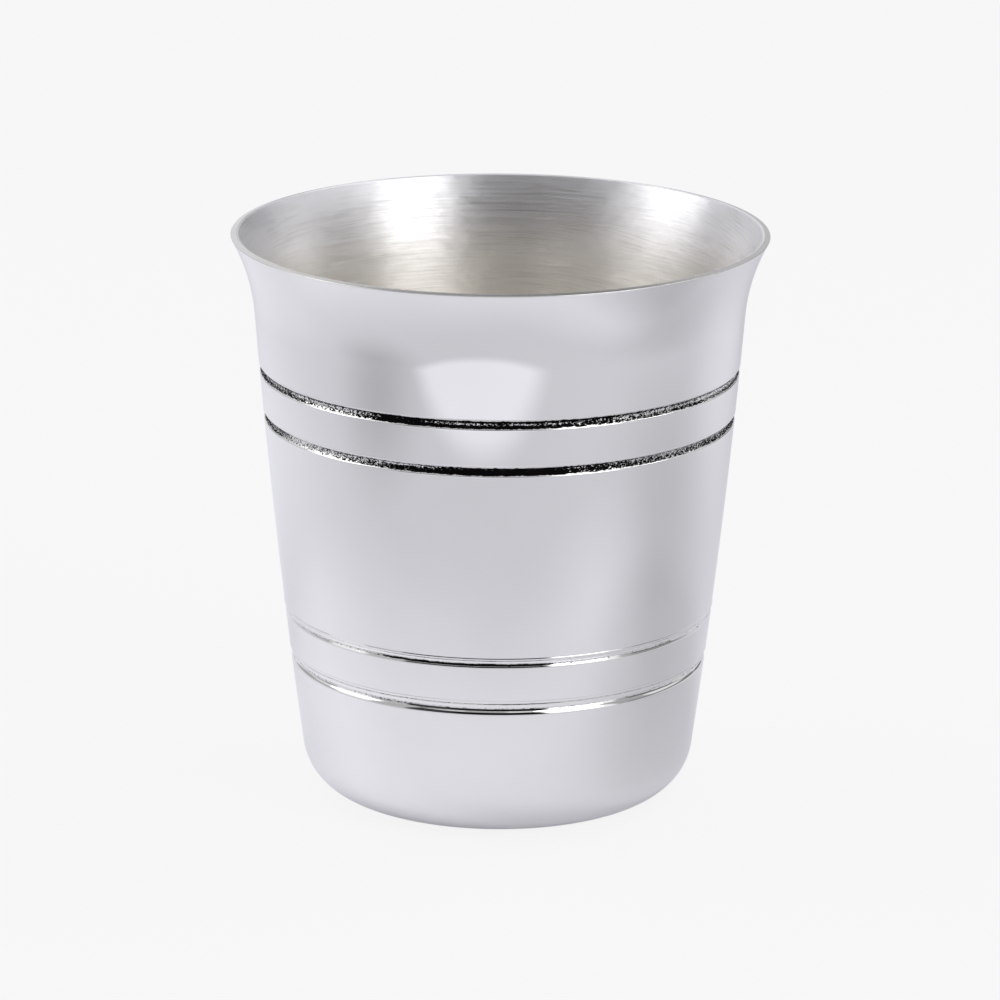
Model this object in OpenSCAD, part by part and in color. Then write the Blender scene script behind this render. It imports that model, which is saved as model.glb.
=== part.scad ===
// Julep cup: a one-piece spun metal beaker with a flared lip, a rounded foot and
// four turned grooves in two pairs, each groove holding a ring of black antiquing.
// The cup stands on z = 0 with its axis on z.

/* [Cup] */
// Diameter across the outside of the lip
rim_d = 83; // [78:0.5:90]
// Height from the table to the top of the lip
cup_h = 89; // [84:0.5:96]
// Thickness of the sheet, which is also the thickness of the rounded lip
wall_t = 0.85; // [0.75:0.05:1.1]

/* [Wall and flare] */
// Radius of the curve that turns the lip outwards
flare_r = 31; // [26:0.5:36]
// Lean of the lip from upright, in degrees
lip_lean = 28.4; // [24:0.2:32]
// Lean of the wall from upright where the flare begins, in degrees
wall_top_lean = 4.4; // [3.6:0.1:5.2]
// Lean of the wall from upright where the foot curve begins, in degrees
wall_foot_lean = 7.7; // [6.9:0.1:8.5]

/* [Foot] */
// Radius of the curve between the wall and the underside
foot_curve_r = 8.4; // [7:0.1:10]
// Width of the flat ring that the cup stands on
ring_w = 2; // [1.5:0.1:3]
// Rise of the domed underside above the table
dome_rise = 0.8; // [0.4:0.1:1.5]

/* [Grooves] */
// Width of each groove at the surface of the wall
groove_w = 1.7; // [1.5:0.05:1.9]
// Depth of each groove
groove_depth = 0.46; // [0.36:0.02:0.54]
// Distance from the top of the lip down to the first groove
upper_pair_drop = 21; // [18:0.5:26]
// Distance from the top of the lip down to the third groove
lower_pair_drop = 59.2; // [54:0.2:62]
// Distance between the two grooves of a pair
pair_spacing = 7.4; // [5:0.1:9]

/* [Blacking] */
// Thickness of the blacking in the upper pair of grooves
upper_blacking_t = 0.12; // [0.08:0.01:0.16]
// Width of the blacking in the upper pair of grooves
upper_blacking_w = 1.3; // [1:0.05:1.4]
// Thickness of the blacking left in the lower pair of grooves
lower_blacking_t = 0.08; // [0.06:0.01:0.12]
// Width of the blacking left in the lower pair of grooves
lower_blacking_w = 0.5; // [0.3:0.05:0.8]

/* [Hidden] */

// Facets of a full turn, and straight steps in each curve of the outline
$fn = 180;
flare_steps = 12;
wall_steps = 8;
foot_steps = 10;
lip_steps = 4;
dome_steps = 6;
groove_steps = 60;

// Points of the outline are [radius, height]. A direction is an angle in degrees
// from straight outwards, positive upwards.
function dir(a) = [cos(a), sin(a)];
function arc(centre, r, from, to, steps) =
    [for (i = [0:steps]) centre + r * dir(from + (to - from) * i / steps)];

// The lip is a full round as thick as the sheet, with its highest point at cup_h
lip_r = wall_t / 2;
lip_centre = [rim_d / 2 - lip_r, cup_h - lip_r];

// The flare is centred outside the cup, so it is hollow when seen from outside
flare_centre = lip_centre + (lip_r + flare_r) * dir(-lip_lean);
flare_foot = flare_centre - flare_r * dir(-wall_top_lean);

// The wall bows out by a trace between its two leans
wall_foot_z = foot_curve_r * (1 - sin(wall_foot_lean));
wall_r = (flare_foot[1] - wall_foot_z) / (sin(wall_foot_lean) - sin(wall_top_lean));
wall_centre = flare_foot - wall_r * dir(-wall_top_lean);

// The foot curve runs from the wall down to the flat ring
foot_centre = wall_centre + (wall_r - foot_curve_r) * dir(-wall_foot_lean);

// The underside is pushed up into a shallow dome inside the ring
dome_edge_r = foot_centre[0] - ring_w;
dome_r = (pow(dome_edge_r, 2) + pow(dome_rise, 2)) / (2 * dome_rise);
dome_centre = [0, dome_rise - dome_r];
dome_half_angle = asin(dome_edge_r / dome_r);
floor_half_angle = acos((wall_t - dome_centre[1]) / (dome_r + wall_t));

// Every groove is an arc sunk into the wall
groove_r = (pow(groove_w / 2, 2) + pow(groove_depth, 2)) / (2 * groove_depth);
groove_zs = [cup_h - upper_pair_drop, cup_h - upper_pair_drop - pair_spacing,
             cup_h - lower_pair_drop, cup_h - lower_pair_drop - pair_spacing];
function wall_lean(z) = asin((wall_centre[1] - z) / wall_r);
function groove_centre(z) =
    wall_centre + (wall_r + groove_r - groove_depth) * dir(-wall_lean(z));
function groove_bottom(z) = 180 - wall_lean(z);

// Outline of the shell, up the outside, over the lip and down the inside
outside = concat(
    arc(dome_centre, dome_r, 90, 90 - dome_half_angle, dome_steps),
    arc(foot_centre, foot_curve_r, -90, -wall_foot_lean, foot_steps),
    arc(wall_centre, wall_r, -wall_foot_lean, -wall_top_lean, wall_steps),
    arc(flare_centre, flare_r, 180 - wall_top_lean, 180 - lip_lean, flare_steps));
lip = concat(
    arc(lip_centre, lip_r, -lip_lean, 0, lip_steps),
    arc(lip_centre, lip_r, 0, 90, lip_steps),
    arc(lip_centre, lip_r, 90, 180 - lip_lean, lip_steps));
inside = concat(
    arc(flare_centre, flare_r + wall_t, 180 - lip_lean, 180 - wall_top_lean, flare_steps),
    arc(wall_centre, wall_r - wall_t, -wall_top_lean, -wall_foot_lean, wall_steps),
    arc(foot_centre, foot_curve_r - wall_t, -wall_foot_lean, -90, foot_steps),
    arc(dome_centre, dome_r + wall_t, 90 - floor_half_angle, 90, dome_steps));

// Where two curves meet, the second one's first point repeats the first one's last
function near(a, b) = norm(a - b) < wall_t / 1000;
function without_repeats(points) =
    [for (i = [0:len(points) - 1]) if (i == 0 || !near(points[i], points[i - 1])) points[i]];

// Round of radius r about a groove's centre, stepped from the groove's deepest line,
// so that the blacking lies on the same steps as the groove
module groove_round(z, r) {
    step = 360 / groove_steps;
    polygon(arc(groove_centre(z), r, groove_bottom(z),
                groove_bottom(z) + 360 - step, groove_steps - 1));
}

// Thin layer on the bottom of a groove, t thick and w wide
module blacking_ring(z, t, w) {
    half_angle = asin(w / (2 * groove_r));
    reach = 4 * groove_r;
    rotate_extrude()
        intersection() {
            difference() {
                groove_round(z, groove_r);
                groove_round(z, groove_r - t);
            }
            translate(groove_centre(z))
                polygon([[0, 0],
                         reach * dir(groove_bottom(z) - half_angle),
                         reach * dir(groove_bottom(z) + half_angle)]);
        }
}

// Spun shell: flared lip, bowed wall, rounded foot and domed underside
module cup_body() {
    color("silver")
        rotate_extrude()
            difference() {
                polygon(without_repeats(concat(outside, lip, inside)));
                for (z = groove_zs) groove_round(z, groove_r);
            }
}

// Thick black antiquing in the upper pair
module groove_1_blacking() {
    color("#1b1a1c") blacking_ring(groove_zs[0], upper_blacking_t, upper_blacking_w);
}

module groove_2_blacking() {
    color("#1b1a1c") blacking_ring(groove_zs[1], upper_blacking_t, upper_blacking_w);
}

// Thin line of black left in the lower pair, where the groove was buffed clean
module groove_3_blacking() {
    color("#2a292b") blacking_ring(groove_zs[2], lower_blacking_t, lower_blacking_w);
}

module groove_4_blacking() {
    color("#2a292b") blacking_ring(groove_zs[3], lower_blacking_t, lower_blacking_w);
}

cup_body();
groove_1_blacking();
groove_2_blacking();
groove_3_blacking();
groove_4_blacking();
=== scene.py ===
# Julep cup in polished silver plate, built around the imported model.
# The dictionaries give lengths in millimetres, which mm() turns to metres, and angles in degrees.
import math
import bmesh
import bpy
from mathutils import Matrix, Vector, noise


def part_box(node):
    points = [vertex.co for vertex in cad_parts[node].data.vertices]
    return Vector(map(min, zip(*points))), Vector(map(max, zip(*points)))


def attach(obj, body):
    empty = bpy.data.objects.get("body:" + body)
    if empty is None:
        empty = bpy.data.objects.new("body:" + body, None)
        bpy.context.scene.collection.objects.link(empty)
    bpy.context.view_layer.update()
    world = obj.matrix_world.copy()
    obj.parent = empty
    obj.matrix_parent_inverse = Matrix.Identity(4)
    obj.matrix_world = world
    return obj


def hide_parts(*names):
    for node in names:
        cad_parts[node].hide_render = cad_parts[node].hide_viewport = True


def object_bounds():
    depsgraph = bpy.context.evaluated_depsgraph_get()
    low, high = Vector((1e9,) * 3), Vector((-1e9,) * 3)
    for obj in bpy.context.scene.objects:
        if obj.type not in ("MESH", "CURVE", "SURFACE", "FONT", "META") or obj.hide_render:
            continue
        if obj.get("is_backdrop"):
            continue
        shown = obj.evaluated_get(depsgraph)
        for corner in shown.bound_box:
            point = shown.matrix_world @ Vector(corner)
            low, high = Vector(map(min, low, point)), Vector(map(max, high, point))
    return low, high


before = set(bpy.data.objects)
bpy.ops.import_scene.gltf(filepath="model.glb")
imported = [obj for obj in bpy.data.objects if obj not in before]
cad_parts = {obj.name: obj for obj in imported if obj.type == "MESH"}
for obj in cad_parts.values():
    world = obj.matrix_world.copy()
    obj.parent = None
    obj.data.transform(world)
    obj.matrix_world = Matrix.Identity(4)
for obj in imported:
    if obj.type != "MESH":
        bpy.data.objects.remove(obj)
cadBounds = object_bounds()
print("frame loaded:", sorted(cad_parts))


def mm(length):
    return length / 1000


def linear(hexCode):
    # sRGB hex to the opaque linear colour that sockets take
    parts = [int(hexCode[i:i + 2], 16) / 255 for i in (0, 2, 4)]
    return [c / 12.92 if c <= 0.04045 else ((c + 0.055) / 1.055) ** 2.4 for c in parts] + [1.0]


def addNode(tree, kind, inputs=None, **settings):
    node = tree.nodes.new(kind)
    for name, value in settings.items():
        setattr(node, name, value)
    for socket, value in (inputs or {}).items():
        if isinstance(value, bpy.types.NodeSocket):
            tree.links.new(value, node.inputs[socket])
        else:
            node.inputs[socket].default_value = value
    return node


def newMaterial(name):
    material = bpy.data.materials.new(name)
    material.use_nodes = True
    material.node_tree.nodes.clear()
    return material, material.node_tree


# Camera first: a long lens from about a metre away, looking slightly down, with a trace of roll
cameraFit = {
    "elevation": 15.78, "distance": 915.0, "lens": 211.4, "sensor": 36.0,
    "roll": 0.345, "aimRight": 0.17, "aimHeight": 46.04, "clip": (50.0, 20000.0),
}


def makeCamera(fit):
    tilt = math.radians(fit["elevation"])
    roll = math.radians(fit["roll"])
    back = Vector((0, -math.cos(tilt), math.sin(tilt)))
    right = Vector((1, 0, 0))
    up = back.cross(right)
    rolledRight = right * math.cos(roll) + up * math.sin(roll)
    rolledUp = back.cross(rolledRight)
    aim = Vector((mm(fit["aimRight"]), 0, mm(fit["aimHeight"])))
    turn = Matrix((rolledRight, rolledUp, back)).transposed().to_4x4()
    data = bpy.data.cameras.new("camera")
    data.lens = fit["lens"]
    data.sensor_width = fit["sensor"]
    data.clip_start, data.clip_end = mm(fit["clip"][0]), mm(fit["clip"][1])
    camera = bpy.data.objects.new("camera", data)
    bpy.context.scene.collection.objects.link(camera)
    camera.matrix_world = Matrix.Translation(aim + back * mm(fit["distance"])) @ turn
    bpy.context.scene.camera = camera


makeCamera(cameraFit)
print("camera placed")


# Silver plate, spun and then buffed to a mirror: pale, barely warm, with faint turning
# ripples and a few fine hairlines from handling
mirrorSilver = {
    "silver": "FBFBF8", "tarnish": "F4F3F0", "tarnishPatch": 18.0,
    "roughness": (0.03, 0.06), "roughAround": 9.0, "roughUp": 3.0,
    "ripplePitch": 2.6, "rippleLength": 60.0, "rippleDepth": 0.0011,
    "hairPitch": 0.30, "hairLength": 9.0, "hairDepth": 0.00012,
}
# Noise lies mostly between these two values, which are stretched over a look's two ends
noiseSpan = (0.3, 0.7)
# This far to the side, a stroke has drifted off level by its slant's share of the distance
slantReach = 30.0


def noiseRange(tree, value, ends):
    return addNode(tree, "ShaderNodeMapRange", {
        "Value": value, "From Min": noiseSpan[0], "From Max": noiseSpan[1],
        "To Min": ends[0], "To Max": ends[1]}).outputs[0]


def mixColours(tree, share, first, second, **settings):
    return addNode(tree, "ShaderNodeMix", {"Factor": share, "A": first, "B": second},
                   data_type="RGBA", **settings).outputs["Result"]


def addBump(tree, height, depth, below=None):
    # Depth is the real height of the relief, and below is the coarser relief under it
    bump = addNode(tree, "ShaderNodeBump", {
        "Height": height, "Strength": 1.0, "Distance": mm(depth)})
    if below is not None:
        tree.links.new(below, bump.inputs["Normal"])
    return bump.outputs[0]


def scaledPosition(tree, across, along):
    # Object coordinates scaled so that noise has one size round the cup and another up it
    place = addNode(tree, "ShaderNodeTexCoord").outputs["Object"]
    return addNode(tree, "ShaderNodeMapping", {
        "Vector": place, "Scale": (1 / mm(across), 1 / mm(across), 1 / mm(along))}).outputs[0]


def meridianPosition(tree, around, pitch, slant=0.0):
    # As above, with radius plus height as the third axis, so that the lines stay round
    # the cup on its floor too. A slant lets them drift off level towards one side.
    place = addNode(tree, "ShaderNodeTexCoord").outputs["Object"]
    split = addNode(tree, "ShaderNodeSeparateXYZ", {0: place}).outputs
    flat = addNode(tree, "ShaderNodeCombineXYZ", {0: split[0], 1: split[1]}).outputs[0]
    radius = addNode(tree, "ShaderNodeVectorMath", {0: flat}, operation="LENGTH").outputs["Value"]
    reach = addNode(tree, "ShaderNodeMath", {0: radius, 1: split[2]}, operation="ADD").outputs[0]
    if slant:
        side = addNode(tree, "ShaderNodeMath", {0: split[0], 1: 0.0},
                       operation="MAXIMUM").outputs[0]
        drift = addNode(tree, "ShaderNodeMath", {0: side, 1: 2.0}, operation="POWER").outputs[0]
        reach = addNode(tree, "ShaderNodeMath", {0: drift, 1: slant / mm(slantReach), 2: reach},
                        operation="MULTIPLY_ADD").outputs[0]
    joined = addNode(tree, "ShaderNodeCombineXYZ", {0: split[0], 1: split[1], 2: reach}).outputs[0]
    return addNode(tree, "ShaderNodeMapping", {
        "Vector": joined, "Scale": (1 / mm(around), 1 / mm(around), 1 / mm(pitch))}).outputs[0]


def makeMirrorSilver(look):
    material, tree = newMaterial("mirrorBuffedSilverPlate")
    patch = addNode(tree, "ShaderNodeTexNoise", {
        "Vector": scaledPosition(tree, look["tarnishPatch"], look["tarnishPatch"]),
        "Scale": 1.0, "Detail": 3.0, "Roughness": 0.5})
    colour = mixColours(tree, patch.outputs[0], linear(look["silver"]), linear(look["tarnish"]))
    wear = addNode(tree, "ShaderNodeTexNoise", {
        "Vector": scaledPosition(tree, look["roughAround"], look["roughUp"]),
        "Scale": 1.0, "Detail": 4.0, "Roughness": 0.6})
    ripple = addNode(tree, "ShaderNodeTexNoise", {
        "Vector": meridianPosition(tree, look["rippleLength"], look["ripplePitch"]),
        "Scale": 1.0, "Detail": 1.0, "Roughness": 0.4})
    hair = addNode(tree, "ShaderNodeTexNoise", {
        "Vector": meridianPosition(tree, look["hairLength"], look["hairPitch"]),
        "Scale": 1.0, "Detail": 2.0, "Roughness": 0.7})
    rippled = addBump(tree, ripple.outputs[0], look["rippleDepth"])
    surface = addNode(tree, "ShaderNodeBsdfPrincipled", {
        "Base Color": colour, "Metallic": 1.0,
        "Roughness": noiseRange(tree, wear.outputs[0], look["roughness"]),
        "Normal": addBump(tree, hair.outputs[0], look["hairDepth"], rippled)})
    addNode(tree, "ShaderNodeOutputMaterial", {"Surface": surface.outputs[0]})
    return material


# The same plate inside, finished with an abrasive pad while the cup turned: satin, with
# fine lines round the cup that draw every highlight out up and down the wall. It is a
# trace warmer below the lip. Strokes and patches of them come up over a span of their noise.
satinSilver = {
    "silver": "FBFBFD", "shade": "F9F9F9", "shadePitch": 1.1, "shadeLength": 32.0,
    "deepSilver": "FEFAF1", "warmFrom": 88.0, "warmTo": 66.0,
    "roughness": (0.32, 0.52), "anisotropic": 0.8,
    "linePitch": 0.34, "lineLength": 16.0, "lineDepth": 0.026,
    "stroke": "E2DFDA", "strokePitch": 0.19, "strokeLength": 9.0, "strokeSlant": 0.14,
    "strokeDepth": 0.004, "strokeSpan": (0.46, 0.74),
    "patchAround": 11.0, "patchUp": 5.5, "patchSpan": (0.42, 0.62), "patchLeast": 0.15,
    "waveAround": 8.0, "waveUp": 4.0, "waveDepth": 0.17,
}
# The underside is only turned, not padded: sharper and a little greyer, with level lines
# and hardly any waves
turnedSilver = dict(
    satinSilver, roughness=(0.20, 0.32), linePitch=0.5, lineDepth=0.003, waveDepth=0.01,
    strokeSlant=0.0, deepSilver="F4F1EA", shade="EBE8E2")
white = (1, 1, 1, 1)


def makeSatinSilver(look, name):
    material, tree = newMaterial(name)
    lines = addNode(tree, "ShaderNodeTexNoise", {
        "Vector": meridianPosition(tree, look["lineLength"], look["linePitch"]),
        "Scale": 1.0, "Detail": 4.0, "Roughness": 0.65})
    broad = addNode(tree, "ShaderNodeTexNoise", {
        "Vector": meridianPosition(tree, look["shadeLength"], look["shadePitch"]),
        "Scale": 1.0, "Detail": 3.0, "Roughness": 0.6})
    place = addNode(tree, "ShaderNodeTexCoord").outputs["Object"]
    level = addNode(tree, "ShaderNodeSeparateXYZ", {0: place}).outputs[2]
    depth = addNode(tree, "ShaderNodeMapRange", {
        "Value": level, "From Min": mm(look["warmFrom"]), "From Max": mm(look["warmTo"]),
        "To Min": 0.0, "To Max": 1.0})
    warmed = mixColours(tree, depth.outputs[0], linear(look["silver"]), linear(look["deepSilver"]))
    shaded = mixColours(tree, broad.outputs[0], white, linear(look["shade"]))
    colour = mixColours(tree, 1.0, warmed, shaded, blend_type="MULTIPLY")
    # Separate strokes of the pad, deeper and duller, gathered in patches
    strokes = addNode(tree, "ShaderNodeTexNoise", {
        "Vector": meridianPosition(tree, look["strokeLength"], look["strokePitch"],
                                   look["strokeSlant"]),
        "Scale": 1.0, "Detail": 2.0, "Roughness": 0.5})
    gathered = addNode(tree, "ShaderNodeTexNoise", {
        "Vector": scaledPosition(tree, look["patchAround"], look["patchUp"]),
        "Scale": 1.0, "Detail": 1.0, "Roughness": 0.5})
    dulled = addNode(tree, "ShaderNodeMapRange", {
        "Value": strokes.outputs[0], "From Min": look["strokeSpan"][0],
        "From Max": look["strokeSpan"][1], "To Min": 0.0, "To Max": 1.0})
    here = addNode(tree, "ShaderNodeMapRange", {
        "Value": gathered.outputs[0], "From Min": look["patchSpan"][0],
        "From Max": look["patchSpan"][1], "To Min": look["patchLeast"], "To Max": 1.0})
    scored = addNode(tree, "ShaderNodeMath", {0: dulled.outputs[0], 1: here.outputs[0]},
                     operation="MULTIPLY").outputs[0]
    marked = mixColours(tree, scored, colour, linear(look["stroke"]))
    wave = addNode(tree, "ShaderNodeTexNoise", {
        "Vector": scaledPosition(tree, look["waveAround"], look["waveUp"]),
        "Scale": 1.0, "Detail": 2.0, "Roughness": 0.5})
    waved = addBump(tree, wave.outputs[0], look["waveDepth"])
    brushed = addBump(tree, lines.outputs[0], look["lineDepth"], waved)
    # The pad's direction: round the cup, at a right angle to the radius
    across = addNode(tree, "ShaderNodeVectorMath", {0: (0, 0, 1), 1: place},
                     operation="CROSS_PRODUCT")
    turned = addNode(tree, "ShaderNodeVectorMath", {0: across.outputs[0]}, operation="NORMALIZE")
    surface = addNode(tree, "ShaderNodeBsdfPrincipled", {
        "Base Color": marked, "Metallic": 1.0,
        "Roughness": noiseRange(tree, lines.outputs[0], look["roughness"]),
        "Anisotropic": look["anisotropic"], "Anisotropic Rotation": 0.25,
        "Tangent": turned.outputs[0],
        "Normal": addBump(tree, scored, look["strokeDepth"], brushed)})
    addNode(tree, "ShaderNodeOutputMaterial", {"Surface": surface.outputs[0]})
    return material


# The lip's cut face, filed flat and eased with a fine pad: a soft sheen without a
# direction, and a little greyer in patches
softLip = {
    "silver": "F0EFEC", "shade": "DEDCD8", "roughness": (0.18, 0.24), "patch": 12.0,
    "grainPitch": 0.25, "grainLength": 2.0, "grainDepth": 0.0006,
}


def makeSoftLip(look):
    material, tree = newMaterial("easedSilverLip")
    patch = addNode(tree, "ShaderNodeTexNoise", {
        "Vector": scaledPosition(tree, look["patch"], look["patch"]),
        "Scale": 1.0, "Detail": 4.0, "Roughness": 0.6})
    grain = addNode(tree, "ShaderNodeTexNoise", {
        "Vector": meridianPosition(tree, look["grainLength"], look["grainPitch"]),
        "Scale": 1.0, "Detail": 2.0, "Roughness": 0.5})
    surface = addNode(tree, "ShaderNodeBsdfPrincipled", {
        "Base Color": mixColours(tree, patch.outputs[0], linear(look["silver"]),
                                 linear(look["shade"])),
        "Metallic": 1.0, "Roughness": noiseRange(tree, patch.outputs[0], look["roughness"]),
        "Normal": addBump(tree, grain.outputs[0], look["grainDepth"])})
    addNode(tree, "ShaderNodeOutputMaterial", {"Surface": surface.outputs[0]})
    return material


# Black antiquing left in a groove: dull black oxide with a sugary broken surface, worn through to
# bright specks of the plate below. The piece's own "wear" attribute rises from the middle of the
# deposit to its ragged edges. Along ring 4's upper flank it is held far below zero, which keeps a
# solid black line there. That line is painted shade under the upper lip, not antiquing.
thickBlacking = {
    "black": "040304", "brown": "0D0A08", "silver": "F8F7F4",
    "speckAround": 0.34, "speckUp": 0.22,
    "patchAround": 9.0, "patchUp": 1.5, "patchShare": 0.20,
    "wornAt": 0.77, "sharpness": 0.02, "roughness": (0.75, 0.28), "grainDepth": 0.02,
}
thinBlacking = dict(thickBlacking, wornAt=0.73, roughness=(0.6, 0.03), grainDepth=0.0003)


def makeBlacking(look, name):
    material, tree = newMaterial(name)
    specks = addNode(tree, "ShaderNodeTexNoise", {
        "Vector": scaledPosition(tree, look["speckAround"], look["speckUp"]),
        "Scale": 1.0, "Detail": 2.0, "Roughness": 0.8})
    patches = addNode(tree, "ShaderNodeTexNoise", {
        "Vector": scaledPosition(tree, look["patchAround"], look["patchUp"]),
        "Scale": 1.0, "Detail": 2.0, "Roughness": 0.5})
    wear = addNode(tree, "ShaderNodeAttribute", attribute_name="wear")
    patched = addNode(tree, "ShaderNodeMath", {
        0: patches.outputs[0], 1: look["patchShare"], 2: specks.outputs[0]},
        operation="MULTIPLY_ADD")
    worn = addNode(tree, "ShaderNodeMath", {0: patched.outputs[0], 1: wear.outputs["Fac"]},
                   operation="ADD")
    bare = addNode(tree, "ShaderNodeMapRange", {
        "Value": worn.outputs[0], "From Min": look["wornAt"],
        "From Max": look["wornAt"] + look["sharpness"]})
    dark = mixColours(tree, patches.outputs[0], linear(look["black"]), linear(look["brown"]))
    colour = mixColours(tree, bare.outputs[0], dark, linear(look["silver"]))
    rough = addNode(tree, "ShaderNodeMapRange", {
        "Value": bare.outputs[0], "To Min": look["roughness"][0], "To Max": look["roughness"][1]})
    surface = addNode(tree, "ShaderNodeBsdfPrincipled", {
        "Base Color": colour, "Metallic": bare.outputs[0],
        "Roughness": rough.outputs[0], "Specular IOR Level": 0.06,
        "Normal": addBump(tree, specks.outputs[0], look["grainDepth"])})
    addNode(tree, "ShaderNodeOutputMaterial", {"Surface": surface.outputs[0]})
    return material


mirrorMaterial = makeMirrorSilver(mirrorSilver)
satinMaterial = makeSatinSilver(satinSilver, "satinPaddedSilverPlate")
turnedMaterial = makeSatinSilver(turnedSilver, "turnedSilverUnderside")
lipMaterial = makeSoftLip(softLip)
print("silver and blacking mixed")


# The cup is spun from one disc. Its outline is drawn upwards from the middle of the
# underside, over the lip and down the inside, then turned about the axis.
cup = {
    "sheet": 0.85, "flareRadius": 31.0, "lipLean": 28.4, "wallTopLean": 4.4, "wallFootLean": 7.7,
    "footCurve": 8.4, "ringWidth": 2.0, "domeRise": 0.8, "sharpAngle": 35.0,
    # The lip is cut nearly level: outer corner, face that falls outwards, edge, inner bevel
    "lipCorner": 0.08, "lipTilt": 13.0, "lipFace": 0.78,
    "lipEdge": 0.05, "bevelTilt": 20.0, "lipBevel": 0.38,
    # A narrow row of faces beside each groove keeps the wall's shading smooth
    "guard": 0.12,
    "steps": {"dome": 16, "foot": 22, "wall": 6, "flare": 30, "corner": 8, "face": 3, "edge": 4,
              "innerFlare": 26, "innerWall": 14, "innerFoot": 18},
    "sectors": 16, "sectorSteps": 16,
}
# Each groove is a hollow arc between two rounded lips, the upper one raised to a slight
# bead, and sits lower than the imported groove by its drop
sharpGroove = {"depth": 0.46, "hollow": 0.82, "lip": 0.18, "upperLip": 0.18, "bead": 0.012,
               "drop": 0.0}
grooveSizes = {
    "groove_4_blacking": {"depth": 0.52, "hollow": 0.95, "lip": 0.95, "upperLip": 0.46,
                          "bead": 0.030, "drop": 0.14},
    "groove_3_blacking": {"depth": 0.26, "hollow": 0.75, "lip": 0.75, "upperLip": 0.26,
                          "bead": 0.070, "drop": 0.19},
    "groove_2_blacking": sharpGroove,
    "groove_1_blacking": sharpGroove,
}
grooveSteps = {"lip": 8, "hollow": 18, "upperLip": 9, "fillet": 5}
# Vertices closer than this are one
weldDistance = 0.002
mirrorFinish, satinFinish, turnedFinish, lipFinish = range(4)


def outward(degrees):
    # Direction in the outline's plane, 0 straight out from the axis and 90 straight up
    return Vector((math.cos(math.radians(degrees)), 0, math.sin(math.radians(degrees))))


def angleOf(vector):
    return math.degrees(math.atan2(vector.z, vector.x))


def shapeOf(sizes):
    # Centres and radii of the outline's arcs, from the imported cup's own height and width
    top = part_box("cup_body")[1]
    shape = {}
    flareRadius = mm(sizes["flareRadius"])
    footCurve = mm(sizes["footCurve"])
    upperLean, lowerLean = sizes["wallTopLean"], sizes["wallFootLean"]
    # The corner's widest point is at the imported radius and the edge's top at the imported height
    corner, edge, face = mm(sizes["lipCorner"]), mm(sizes["lipEdge"]), mm(sizes["lipFace"])
    cornerCentre = Vector((top.x - corner, 0, 0))
    faceEnd = corner * outward(90 - sizes["lipTilt"]) + face * outward(180 - sizes["lipTilt"])
    edgeCentre = faceEnd - edge * outward(90 - sizes["lipTilt"])
    cornerCentre.z = top.z - edge - edgeCentre.z
    shape["cornerCentre"], shape["edgeCentre"] = cornerCentre, cornerCentre + edgeCentre
    shape["cornerStart"] = cornerCentre + corner * outward(-sizes["lipLean"])
    shape["flare"] = shape["cornerStart"] + flareRadius * outward(-sizes["lipLean"])
    flareFoot = shape["flare"] - flareRadius * outward(-upperLean)
    footTop = footCurve * (1 - math.sin(math.radians(lowerLean)))
    shape["wallRadius"] = (flareFoot.z - footTop) / (
        math.sin(math.radians(lowerLean)) - math.sin(math.radians(upperLean)))
    shape["wall"] = flareFoot - shape["wallRadius"] * outward(-upperLean)
    shape["foot"] = shape["wall"] + (shape["wallRadius"] - footCurve) * outward(-lowerLean)
    domeEdge = shape["foot"].x - mm(sizes["ringWidth"])
    rise = mm(sizes["domeRise"])
    shape["domeRadius"] = (domeEdge ** 2 + rise ** 2) / (2 * rise)
    shape["dome"] = Vector((0, 0, rise - shape["domeRadius"]))
    shape["domeTop"] = Vector((0, 0, rise))
    shape["domeTurn"] = math.degrees(math.asin(domeEdge / shape["domeRadius"]))
    return shape


def turnBetween(start, stop):
    return (stop - start + 180) % 360 - 180


def spreadBetween(near, far, apart):
    # Angle at the wall's centre between two circles' centres, from the three distances
    return math.degrees(math.acos((near ** 2 + far ** 2 - apart ** 2) / (2 * near * far)))


def grooveShape(node, sizes, shape):
    # Tangent arcs from the wall below the groove to the wall above it
    low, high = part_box(node)
    middle = (low.z + high.z) / 2 - mm(sizes["drop"])
    angle = angleOf(Vector((high.x, 0, middle)) - shape["wall"])
    wall, hollow, lip = shape["wallRadius"], mm(sizes["hollow"]), mm(sizes["lip"])
    upperLip, bead = mm(sizes["upperLip"]), mm(sizes["bead"])
    toCentre = wall + hollow - mm(sizes["depth"])
    start = angle - spreadBetween(wall - lip, toCentre, lip + hollow)
    upperAngle = angle + spreadBetween(wall - upperLip + bead, toCentre, upperLip + hollow)
    stop = upperAngle + spreadBetween(wall - upperLip + bead, wall + upperLip, 2 * upperLip)
    centre = shape["wall"] + toCentre * outward(angle)
    lower = shape["wall"] + (wall - lip) * outward(start)
    upper = shape["wall"] + (wall - upperLip + bead) * outward(upperAngle)
    fillet = shape["wall"] + (wall + upperLip) * outward(stop)
    lowerFlank = turnBetween(angle + 180, angleOf(lower - centre))
    upperFlank = turnBetween(angleOf(upper - centre), angle + 180)
    arcs = [
        (lower, turnBetween(start, angleOf(centre - lower)), grooveSteps["lip"]),
        (centre, -lowerFlank - upperFlank, grooveSteps["hollow"]),
        (upper, turnBetween(angleOf(centre - upper), angleOf(fillet - upper)),
         grooveSteps["upperLip"]),
        (fillet, turnBetween(angleOf(upper - fillet), stop + 180), grooveSteps["fillet"]),
    ]
    return {"angle": angle, "centre": centre, "start": start, "stop": stop, "arcs": arcs,
            "hollow": hollow}


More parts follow.
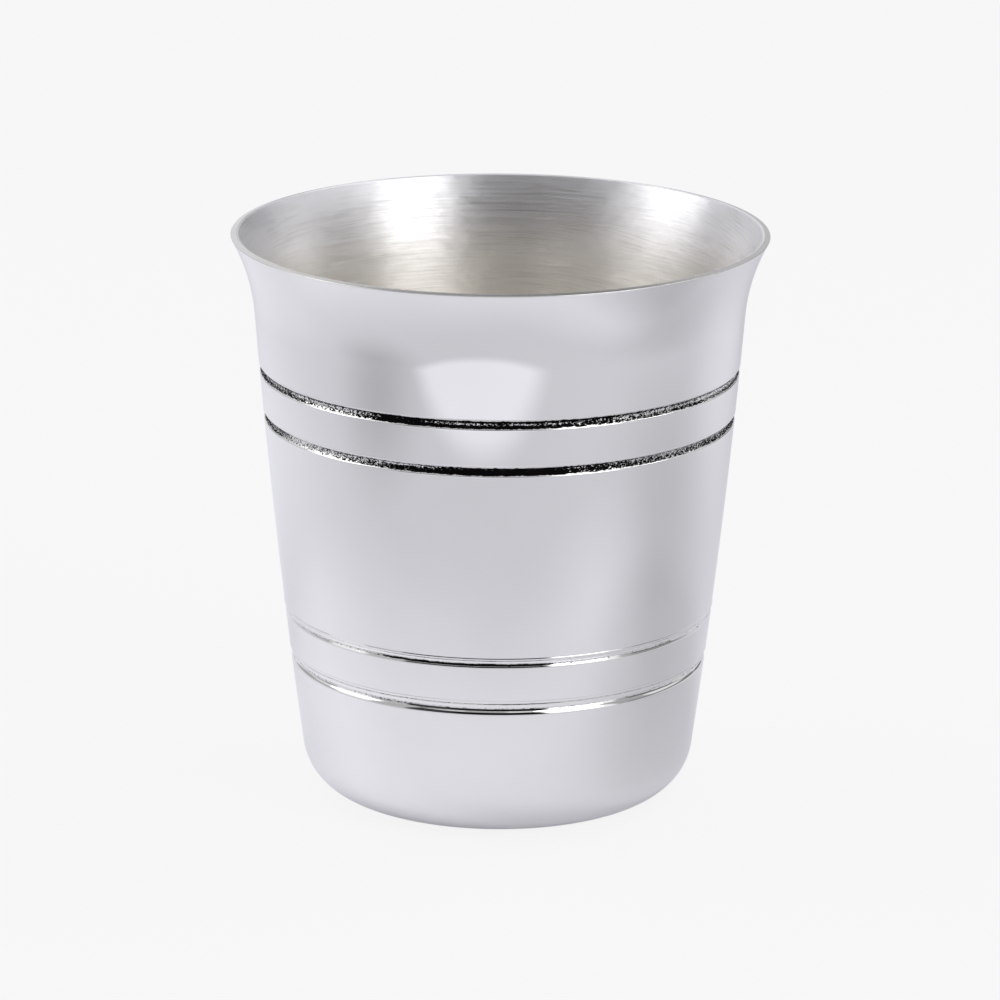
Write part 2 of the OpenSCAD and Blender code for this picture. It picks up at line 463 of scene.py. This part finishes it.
def drawArc(bm, end, centre, turn, steps):
    # Sweeps the outline's last vertex about a centre, anticlockwise for a positive turn
    swept = bmesh.ops.spin(bm, geom=[end], cent=centre, axis=(0, 1, 0), dvec=(0, 0, 0),
                           angle=math.radians(-turn), steps=steps, use_merge=False,
                           use_duplicate=False)
    return swept["geom_last"][0]


def drawLine(bm, end, offset):
    added = bmesh.ops.extrude_vert_indiv(bm, verts=[end])["verts"][0]
    bmesh.ops.translate(bm, verts=[added], vec=offset)
    return added


def turnOutline(bm, old, sectorSteps, sectors, finish):
    # Spins what was drawn since old through one sector of the turn, gives the faces their
    # material, then copies the sector round the axis, which is far quicker than one long spin
    bmesh.ops.spin(bm, geom=newGeometry(bm, old), cent=(0, 0, 0), axis=(0, 0, 1), dvec=(0, 0, 0),
                   angle=math.radians(360 / sectors), steps=sectorSteps, use_merge=False,
                   use_duplicate=False)
    sector = newGeometry(bm, old)
    for part in sector:
        if isinstance(part, bmesh.types.BMFace):
            part.material_index = finish
    for count in range(1, sectors):
        copied = bmesh.ops.duplicate(bm, geom=sector)["geom"]
        turn = Matrix.Rotation(math.radians(360 * count / sectors), 3, "Z")
        bmesh.ops.rotate(bm, verts=[v for v in copied if isinstance(v, bmesh.types.BMVert)],
                         cent=(0, 0, 0), matrix=turn)


def startOutline(bm, place):
    # Remembers what is already there, so that only the new wire is turned
    old = set(bm.verts) | set(bm.edges) | set(bm.faces)
    return old, bm.verts.new(place)


def newGeometry(bm, old):
    return [part for parts in (bm.verts, bm.edges, bm.faces) for part in parts if part not in old]


def finishPiece(bm, name, materials, sharpAngle):
    bmesh.ops.remove_doubles(bm, verts=bm.verts, dist=mm(weldDistance))
    bmesh.ops.recalc_face_normals(bm, faces=bm.faces)
    for face in bm.faces:
        face.smooth = True
    for edge in bm.edges:
        if len(edge.link_faces) == 2 and edge.calc_face_angle(0) > math.radians(sharpAngle):
            edge.smooth = False
    mesh = bpy.data.meshes.new(name)
    bm.to_mesh(mesh)
    bm.free()
    for material in materials:
        mesh.materials.append(material)
    piece = bpy.data.objects.new(name, mesh)
    bpy.context.scene.collection.objects.link(piece)
    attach(piece, "root")
    print(name, "has", sum(len(p.vertices) - 2 for p in mesh.polygons), "triangles")
    return piece


def makeCup(sizes, shape, grooves):
    bm = bmesh.new()
    steps = sizes["steps"]
    sectorSteps, sectors = sizes["sectorSteps"], sizes["sectors"]
    sheet = mm(sizes["sheet"])
    # Underside: a shallow dome inside the flat ring that the cup stands on
    old, pen = startOutline(bm, shape["domeTop"])
    pen = drawArc(bm, pen, shape["dome"], -shape["domeTurn"], steps["dome"])
    pen = drawLine(bm, pen, Vector((mm(sizes["ringWidth"]), 0, 0)))
    place = pen.co.copy()
    turnOutline(bm, old, sectorSteps, sectors, turnedFinish)
    # Outside: foot curve, wall with its four grooves and the flare
    old, pen = startOutline(bm, place)
    pen = drawArc(bm, pen, shape["foot"], 90 - sizes["wallFootLean"], steps["foot"])
    angle = -sizes["wallFootLean"]
    guard = math.degrees(mm(sizes["guard"]) / shape["wallRadius"])
    for groove in grooves + [None]:
        stop = groove["start"] if groove else -sizes["wallTopLean"]
        pen = drawArc(bm, pen, shape["wall"], guard, 1)
        pen = drawArc(bm, pen, shape["wall"], stop - angle - 2 * guard, steps["wall"])
        pen = drawArc(bm, pen, shape["wall"], guard, 1)
        if groove:
            for centre, turn, arcSteps in groove["arcs"]:
                pen = drawArc(bm, pen, centre, turn, arcSteps)
            angle = groove["stop"]
    flareTurn = sizes["lipLean"] - sizes["wallTopLean"]
    pen = drawArc(bm, pen, shape["flare"], -flareTurn, steps["flare"])
    place = pen.co.copy()
    turnOutline(bm, old, sectorSteps, sectors, mirrorFinish)
    # Lip: eased outer corner, cut face and eased edge
    old, pen = startOutline(bm, place)
    cornerTurn = 90 + sizes["lipLean"] - sizes["lipTilt"]
    pen = drawArc(bm, pen, shape["cornerCentre"], cornerTurn, steps["corner"])
    faceStep = mm(sizes["lipFace"]) / steps["face"] * outward(180 - sizes["lipTilt"])
    for count in range(steps["face"]):
        pen = drawLine(bm, pen, faceStep)
    edgeTurn = sizes["lipTilt"] + sizes["bevelTilt"]
    pen = drawArc(bm, pen, shape["edgeCentre"], edgeTurn, steps["edge"])
    place = pen.co.copy()
    turnOutline(bm, old, sectorSteps, sectors, lipFinish)
    # The bevel inside the lip is padded with the inside
    old, pen = startOutline(bm, place)
    pen = drawLine(bm, pen, mm(sizes["lipBevel"]) * outward(180 + sizes["bevelTilt"]))
    place = pen.co.copy()
    turnOutline(bm, old, sectorSteps, sectors, satinFinish)
    # Inside: down the flare and the wall, round the foot and in to the middle of the floor.
    # The sheet is a little thicker at the lip and thins evenly down the flare.
    old, pen = startOutline(bm, place)
    innerFlare = mm(sizes["flareRadius"]) + sheet
    innerStart = math.degrees(math.asin((place.z - shape["flare"].z) / innerFlare))
    atSheet = shape["flare"] + innerFlare * outward(180 - innerStart)
    thicker = place - atSheet
    pen.co = atSheet
    flareTurn = innerStart - sizes["wallTopLean"]
    pen = drawArc(bm, pen, shape["flare"], flareTurn, steps["innerFlare"])
    for vert in newGeometry(bm, old):
        if isinstance(vert, bmesh.types.BMVert):
            left = (vert.co.z - pen.co.z) / (atSheet.z - pen.co.z)
            vert.co += thicker * max(0, left) ** 2
    wallTurn = sizes["wallTopLean"] - sizes["wallFootLean"]
    pen = drawArc(bm, pen, shape["wall"], wallTurn, steps["innerWall"])
    pen = drawArc(bm, pen, shape["foot"], sizes["wallFootLean"] - 90, steps["innerFoot"])
    floorRadius = shape["domeRadius"] + sheet
    floorTurn = math.degrees(math.acos((pen.co.z - shape["dome"].z) / floorRadius))
    edge = floorRadius * math.sin(math.radians(floorTurn))
    pen = drawLine(bm, pen, Vector((edge - pen.co.x, 0, 0)))
    pen = drawArc(bm, pen, shape["dome"], floorTurn, steps["dome"])
    turnOutline(bm, old, sectorSteps, sectors, satinFinish)
    materials = [mirrorMaterial, satinMaterial, turnedMaterial, lipMaterial]
    piece = finishPiece(bm, "spunCup", materials, sizes["sharpAngle"])
    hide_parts("cup_body")


cupShape = shapeOf(cup)
grooveShapes = {node: grooveShape(node, sizes, cupShape) for node, sizes in grooveSizes.items()}
makeCup(cup, cupShape, list(grooveShapes.values()))
print("cup spun")


# What is left of the antiquing: a rough skin on the bottom of the groove that thins out to
# ragged edges. Angles down are measured about the groove's centre from its deepest line.
# Buffing wore rings 1, 2 and 4 unevenly. Ring 3 is kept solid black only towards the camera and is
# worn through round the rest. "worn" gives how much at an angle round the cup (0 towards the
# camera, positive to its right), and the band table gives how much more along one line of the
# groove. Where the band table is far below zero, all round ring 4, its line stays solid black:
# painted shade under the overhanging upper lip, not wear.
# The wear grows over "edgeFade" degrees past the solid part and the skin thins to nothing
# over "rimFade", where its rim is tucked in. Noises: roughness, lacunarity and octaves.
plainRing = {
    "sunk": 0.03, "edgeWear": 0.9, "edgeFade": 18, "rimFade": 8, "rimShare": 0.01, "tuck": 0.004,
    "ragNoise": (0.8, 2.0, 3), "lumpNoise": (0.9, 2.0, 2), "lump": 0.35, "lumpTurn": 9,
    "seedScale": 3700, "sideSeed": 9,
    "sectors": 30, "sectorSteps": 36, "underSteps": 4, "sharpAngle": 80.0,
}
thickRing = dict(
    plainRing, start=-57.0, stop=57.0, middle=2.0, solid=47.0, thickness=0.05,
    rag=9.0, ragLength=0.8, lumpDepth=0.02, sectionSteps=18)
thinRing = dict(
    plainRing, start=-2.0, stop=38.0, middle=18.0, solid=9.0, thickness=0.015,
    rag=6.0, ragLength=1.2, lumpDepth=0.001, sectionSteps=14)
rings = {
    "groove_1_blacking": dict(
        thickRing, bandAt=0.0, bandWidth=30.0,
        worn={-180: 0.06, -120: 0.10, -84: 0.08, -62: 0.10, -50: 0.15, -40: 0.11, -32: 0.07,
              -26: -0.07, -16: -0.08, 12: -0.07, 24: 0.02, 32: 0.10, 60: 0.11, 84: 0.12,
              130: 0.10, 180: 0.06},
        bandWearAndShade={-180: 0.15, -84: 0.04, -60: 0.10, -40: 0.10, -22: 0.04, -14: 0.24, 16: 0.26,
              24: 0.05, 34: 0.12, 84: 0.10, 180: 0.15}),
    "groove_2_blacking": dict(
        thickRing, bandAt=-24.0, bandWidth=26.0,
        worn={-180: 0.10, -130: 0.14, -86: 0.10, -66: 0.12, -57: 0.24, -48: 0.22, -40: 0.15,
              -30: 0.11, -22: 0.02, -8: -0.08, 12: -0.08, 20: 0.02, 36: 0.09, 46: 0.12,
              62: 0.10, 84: 0.12, 120: 0.12, 180: 0.10},
        bandWearAndShade={-180: 0.1, -32: 0.0, -26: 0.22, -8: 0.12, 12: 0.05, 24: 0.05, 40: 0.1, 180: 0.1}),
    "groove_3_blacking": dict(
        thinRing, bandAt=0.0, bandWidth=1.0,
        worn={-180: 0.25, -60: 0.22, -36: 0.20, -27: -0.10, 10: -0.10, 17: 0.20, 44: 0.25,
              50: 0.10, 56: 0.25, 180: 0.25},
        bandWearAndShade={-180: 0.0, 180: 0.0}),
    # Ring 4's band is far below zero all round and blackest towards the camera: a solid black line
    # on the upper flank that is painted shade under the upper lip
    "groove_4_blacking": dict(
        thinRing, start=-50.0, sectionSteps=26, bandAt=-43.0, bandWidth=19.0,
        worn={-180: 0.25, -50: 0.25, -30: 0.20, -10: 0.22, 8: 0.22, 20: 0.25, 180: 0.25},
        bandWearAndShade={-180: -1.1, -4: -1.2, 0: -2.0, 8: -1.9, 14: -1.5, 20: -1.1, 180: -1.1}),
}


def levelAt(marks, azimuth):
    # Eases between the nearest two marks round the cup
    below = max(mark for mark in marks if mark <= azimuth)
    above = min(mark for mark in marks if mark >= azimuth)
    if above == below:
        return marks[below]
    share = (azimuth - below) / (above - below)
    return marks[below] + (marks[above] - marks[below]) * share * share * (3 - 2 * share)


def makeBlackingRing(node, name, sizes, groove, material):
    bm = bmesh.new()
    deepest = groove["angle"] + 180
    low, high = sizes["start"], sizes["stop"]
    # A closed section, its underside sunk in the silver, turned about the axis
    under, over = groove["hollow"] + mm(sizes["sunk"]), groove["hollow"] - mm(sizes["thickness"])
    old, first = startOutline(bm, groove["centre"] + under * outward(deepest + low))
    last = drawArc(bm, first, groove["centre"], high - low, sizes["underSteps"])
    skinStart = bm.verts.new(groove["centre"] + over * outward(deepest + high))
    bm.edges.new((last, skinStart))
    skinEnd = drawArc(bm, skinStart, groove["centre"], low - high, sizes["sectionSteps"])
    bm.edges.new((skinEnd, first))
    turnOutline(bm, old, sizes["sectorSteps"], sizes["sectors"], 0)
    bmesh.ops.remove_doubles(bm, verts=bm.verts, dist=mm(weldDistance))
    # The skin is roughened and its wear written down, vertex by vertex
    wear = bm.verts.layers.float.new("wear")
    seed = Vector((0, 0, groove["centre"].z * sizes["seedScale"]))
    for vert in bm.verts:
        radius = math.hypot(vert.co.x, vert.co.y)
        section = Vector((radius, 0, vert.co.z)) - groove["centre"]
        if section.length > groove["hollow"]:
            continue
        outwards = Vector((vert.co.x, vert.co.y, 0)) / radius
        around = outwards * groove["centre"].x
        azimuth = math.degrees(math.atan2(vert.co.x, -vert.co.y))
        down = turnBetween(deepest, angleOf(section))
        side = Vector((0, 0, sizes["sideSeed"] if down > sizes["middle"] else 0))
        ragPlace = around / mm(sizes["ragLength"]) + seed + side
        rag = sizes["rag"] * noise.fractal(ragPlace, *sizes["ragNoise"])
        beyond = max(0, abs(down - sizes["middle"]) + rag - sizes["solid"])
        # A band far below zero keeps the skin solid black along its line; on ring 4 that line is
        # painted shade under the upper lip
        inBand = max(0, 1 - abs(down + rag - sizes["bandAt"]) / sizes["bandWidth"])
        vert[wear] = (sizes["edgeWear"] * min(1, beyond / sizes["edgeFade"])
                      + levelAt(sizes["worn"], azimuth)
                      + levelAt(sizes["bandWearAndShade"], azimuth) * inBand)
        lumpPlace = around / mm(sizes["lump"]) + seed + Vector((0, 0, down / sizes["lumpTurn"]))
        lump = noise.fractal(lumpPlace, *sizes["lumpNoise"])
        rim = min(1, (down - low) / sizes["rimFade"], (high - down) / sizes["rimFade"])
        height = mm(sizes["thickness"] + sizes["lumpDepth"] * lump) * max(0, rim)
        if rim < sizes["rimShare"]:
            height -= mm(sizes["tuck"])
        moved = groove["centre"] + section.normalized() * (groove["hollow"] - height)
        vert.co = outwards * moved.x + Vector((0, 0, moved.z))
    piece = finishPiece(bm, name, [material], sizes["sharpAngle"])
    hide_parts(node)


thickMaterial = makeBlacking(thickBlacking, "wornThickBlacking")
thinMaterial = makeBlacking(thinBlacking, "thinBlackingTraceAndShadeLine")
for node, sizes in rings.items():
    thick = node in ("groove_1_blacking", "groove_2_blacking")
    makeBlackingRing(node, node.replace("groove_", "ring").replace("_blacking", "Blacking"),
                     sizes, grooveShapes[node], thickMaterial if thick else thinMaterial)
print("grooves blackened")


# Pale sweep that the cup stands on. The camera sees it near white, with the cup's shadow
# kept by a share of plain diffuse. The silver sees its own softer grey, with the pools of
# light and shade that cards and flags throw on such a table: middle, reach and turn of
# each soft oval, how much of it is level, and how much lighter or darker it makes the paint.
# The sweep is translucent and lit a little from below too, which is its glow.
floorLook = {
    "radius": 2500.0, "segments": 96, "gap": 0.02, "seen": "FFFFFF", "paint": "C5C5CB",
    "brightest": (0.93, 0.93, 0.95), "glow": 0.19, "shadowShare": 0.13,
    "pools": {
        "nearFoot": {"middle": (-35, -20), "reach": (120, 100), "turn": -20,
                     "level": 0.0, "gain": 0.38},
        "leftWindow": {"middle": (-110, 150), "reach": (250, 300), "turn": 30,
                       "level": 0.0, "gain": 0.35},
        "rightWindow": {"middle": (280, 280), "reach": (350, 150), "turn": 60,
                        "level": 0.3, "gain": 0.25},
        "frontCard": {"middle": (-55, -230), "reach": (160, 76), "turn": 0,
                      "level": 0.65, "gain": 0.37},
        "leftFlag": {"middle": (-170, -120), "reach": (100, 80), "turn": -60,
                     "level": 0.0, "gain": -0.25},
        "rightCard": {"middle": (70, -70), "reach": (90, 60), "turn": 0,
                      "level": 0.0, "gain": 0.20},
        "rightFlag": {"middle": (160, -20), "reach": (110, 130), "turn": 0,
                      "level": 0.0, "gain": -0.15},
        "footFlag": {"middle": (75, -10), "reach": (60, 70), "turn": 0,
                     "level": 0.5, "gain": -0.08},
    },
}


def addPool(tree, place, current, pool):
    # One soft oval of light or shade, added to what is there
    local = addNode(tree, "ShaderNodeMapping", {
        "Vector": place, "Location": (mm(pool["middle"][0]), mm(pool["middle"][1]), 0),
        "Rotation": (0, 0, math.radians(pool["turn"])),
        "Scale": (mm(pool["reach"][0]), mm(pool["reach"][1]), 1)}, vector_type="TEXTURE")
    away = addNode(tree, "ShaderNodeVectorMath", {0: local.outputs[0]}, operation="LENGTH")
    share = addNode(tree, "ShaderNodeMapRange", {
        "Value": away.outputs["Value"], "From Min": 1.0, "From Max": pool["level"],
        "To Min": 0.0, "To Max": pool["gain"]}, interpolation_type="SMOOTHSTEP")
    return addNode(tree, "ShaderNodeMath", {0: current, 1: share.outputs[0]},
                   operation="ADD").outputs[0]


def makeFloor(look):
    bm = bmesh.new()
    bmesh.ops.create_circle(bm, cap_ends=True, segments=look["segments"],
                            radius=mm(look["radius"]))
    bmesh.ops.translate(bm, verts=bm.verts, vec=(0, 0, -mm(look["gap"])))
    mesh = bpy.data.meshes.new("sweep")
    bm.to_mesh(mesh)
    bm.free()
    material, tree = newMaterial("paintedPaleSweep")
    path = addNode(tree, "ShaderNodeLightPath")
    matt = addNode(tree, "ShaderNodeBsdfDiffuse", {"Color": linear(look["paint"])})
    pale = addNode(tree, "ShaderNodeEmission", {"Color": linear(look["seen"]), "Strength": 1.0})
    shadowed = addNode(tree, "ShaderNodeMixShader", {
        0: look["shadowShare"], 1: pale.outputs[0], 2: matt.outputs[0]})
    place = addNode(tree, "ShaderNodeTexCoord").outputs["Object"]
    level = addNode(tree, "ShaderNodeValue")
    level.outputs[0].default_value = 1.0
    current = level.outputs[0]
    for pool in look["pools"].values():
        current = addPool(tree, place, current, pool)
    pooled = addNode(tree, "ShaderNodeVectorMath", {
        0: linear(look["paint"])[:3], "Scale": current}, operation="SCALE")
    kept = addNode(tree, "ShaderNodeVectorMath", {
        0: pooled.outputs[0], 1: look["brightest"]}, operation="MINIMUM")
    lit = addNode(tree, "ShaderNodeBsdfDiffuse", {"Color": kept.outputs[0]})
    glow = addNode(tree, "ShaderNodeEmission", {
        "Color": kept.outputs[0], "Strength": look["glow"]})
    table = addNode(tree, "ShaderNodeAddShader", {0: lit.outputs[0], 1: glow.outputs[0]})
    seen = addNode(tree, "ShaderNodeMixShader", {
        0: path.outputs["Is Camera Ray"], 1: table.outputs[0], 2: shadowed.outputs[0]})
    # From below the sweep is clear, so that the underside can be looked at
    side = addNode(tree, "ShaderNodeNewGeometry")
    clear = addNode(tree, "ShaderNodeBsdfTransparent")
    oneSided = addNode(tree, "ShaderNodeMixShader", {
        0: side.outputs["Backfacing"], 1: seen.outputs[0], 2: clear.outputs[0]})
    addNode(tree, "ShaderNodeOutputMaterial", {"Surface": oneSided.outputs[0]})
    mesh.materials.append(material)
    sweep = bpy.data.objects.new("sweep", mesh)
    bpy.context.scene.collection.objects.link(sweep)
    sweep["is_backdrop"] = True


makeFloor(floorLook)

# The room: pale overhead, dark behind the camera, with a thin dark band past the edge of
# the table at both sides. Later zones are painted over earlier ones, and their edges are
# soft. Azimuth is 0 towards the camera and positive to its right.
room = {
    "seen": "F6F6F6", "tent": "F5F5F9", "softAzimuth": 6.0, "softHeight": 5.0,
    "zones": [
        {"azimuth": (-190, 190), "height": (62, 100), "level": 0.90},
        {"azimuth": (-70, 35), "height": (43, 80), "level": 0.78},
        {"azimuth": (44, 63), "height": (38, 60), "level": 1.90},
        {"azimuth": (-52, 27), "height": (0, 43), "level": 0.01},
        {"azimuth": (-52, -24), "height": (0, 43), "level": 0.05},
        {"azimuth": (-74, -52), "height": (0, 62), "level": 0.48},
        {"azimuth": (-22, 6), "height": (43, 60), "level": 0.40},
        {"azimuth": (68, 96), "height": (38, 76), "level": 0.08},
        {"azimuth": (68, 96), "height": (-7, 40), "level": 0.42},
        {"azimuth": (96, 138), "height": (-7, 44), "level": 0.85},
        {"azimuth": (138, 156), "height": (-7, 30), "level": 0.20},
        {"azimuth": (156, 190), "height": (-7, 34), "level": 0.62},
        {"azimuth": (156, 190), "height": (34, 50), "level": 0.16},
        {"azimuth": (-190, -150), "height": (36, 50), "level": 0.16},
        {"azimuth": (-190, -150), "height": (-7, 36), "level": 0.85},
        {"azimuth": (-150, -100), "height": (-7, 40), "level": 0.80},
        {"azimuth": (-150, -100), "height": (3, 15), "level": 0.40},
        {"azimuth": (76, 138), "height": (3, 15), "level": 0.20},
        {"azimuth": (-135, 135), "height": (-7, 0), "level": 0.60},
    ],
}


def makeRoom(look):
    world = bpy.data.worlds.new("studioRoom")
    bpy.context.scene.world = world
    world.use_nodes = True
    tree = world.node_tree
    tree.nodes.clear()
    place = addNode(tree, "ShaderNodeTexCoord").outputs["Generated"]
    split = addNode(tree, "ShaderNodeSeparateXYZ", {0: place}).outputs
    toCamera = addNode(tree, "ShaderNodeMath", {0: split[1], 1: -1.0}, operation="MULTIPLY")
    azimuth = addNode(tree, "ShaderNodeMath", {0: split[0], 1: toCamera.outputs[0]},
                      operation="ARCTAN2").outputs[0]
    height = addNode(tree, "ShaderNodeMath", {0: split[2]}, operation="ARCSINE").outputs[0]
    level = addNode(tree, "ShaderNodeValue")
    level.outputs[0].default_value = 1.0
    current = level.outputs[0]
    for zone in look["zones"]:
        share = None
        for value, limits, soft in ((azimuth, zone["azimuth"], look["softAzimuth"]),
                                    (height, zone["height"], look["softHeight"])):
            for limit, rising in zip(limits, (True, False)):
                span = (math.radians(limit - soft / 2), math.radians(limit + soft / 2))
                edge = addNode(tree, "ShaderNodeMapRange", {
                    "Value": value, "From Min": span[0], "From Max": span[1],
                    "To Min": 0.0 if rising else 1.0, "To Max": 1.0 if rising else 0.0},
                    interpolation_type="SMOOTHSTEP").outputs[0]
                share = edge if share is None else addNode(
                    tree, "ShaderNodeMath", {0: share, 1: edge}, operation="MULTIPLY").outputs[0]
        current = addNode(tree, "ShaderNodeMix", {
            "Factor": share, "A": current, "B": zone["level"]}).outputs["Result"]
    tent = addNode(tree, "ShaderNodeBackground", {
        "Color": linear(look["tent"]), "Strength": current})
    seen = addNode(tree, "ShaderNodeBackground", {
        "Color": linear(look["seen"]), "Strength": 1.0})
    path = addNode(tree, "ShaderNodeLightPath")
    mixed = addNode(tree, "ShaderNodeMixShader", {
        0: path.outputs["Is Camera Ray"], 1: tent.outputs[0], 2: seen.outputs[0]})
    addNode(tree, "ShaderNodeOutputWorld", {"Surface": mixed.outputs[0]})


makeRoom(room)

# Softboxes: two large ones in front of the cup and to its left, two smaller and higher ones
# behind. All face a point on the cup's axis, softboxAim above the table.
softboxAim = 60.0
softboxes = {
    "frontRight": {"azimuth": 44, "height": 29, "away": 700,
                   "wide": 390, "tall": 480, "level": 1.55},
    "frontLeft": {"azimuth": -92, "height": 32, "away": 750,
                  "wide": 400, "tall": 460, "level": 1.15},
    "backRight": {"azimuth": 116, "height": 54, "away": 800,
                  "wide": 320, "tall": 300, "level": 2.4},
    "backLeft": {"azimuth": -118, "height": 52, "away": 800,
                 "wide": 320, "tall": 300, "level": 1.3},
}


def makeSoftbox(name, box):
    data = bpy.data.lights.new(name, "AREA")
    data.shape = "RECTANGLE"
    data.size, data.size_y = mm(box["wide"]), mm(box["tall"])
    data.energy = box["level"] * math.pi * data.size * data.size_y
    lamp = bpy.data.objects.new(name, data)
    side, rise = math.radians(box["azimuth"]), math.radians(box["height"])
    direction = Vector((math.sin(side) * math.cos(rise), -math.cos(side) * math.cos(rise),
                        math.sin(rise)))
    lamp.location = direction * mm(box["away"]) + Vector((0, 0, mm(softboxAim)))
    lamp.rotation_euler = direction.to_track_quat("Z", "Y").to_euler()
    lamp.visible_camera = False
    bpy.context.scene.collection.objects.link(lamp)


for name, box in softboxes.items():
    makeSoftbox(name, box)
print("studio lit")

bpy.context.scene.view_settings.view_transform = "Standard"
sizes = {"cad": [list(corner) for corner in cadBounds],
         "visual": [list(corner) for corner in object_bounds()]}
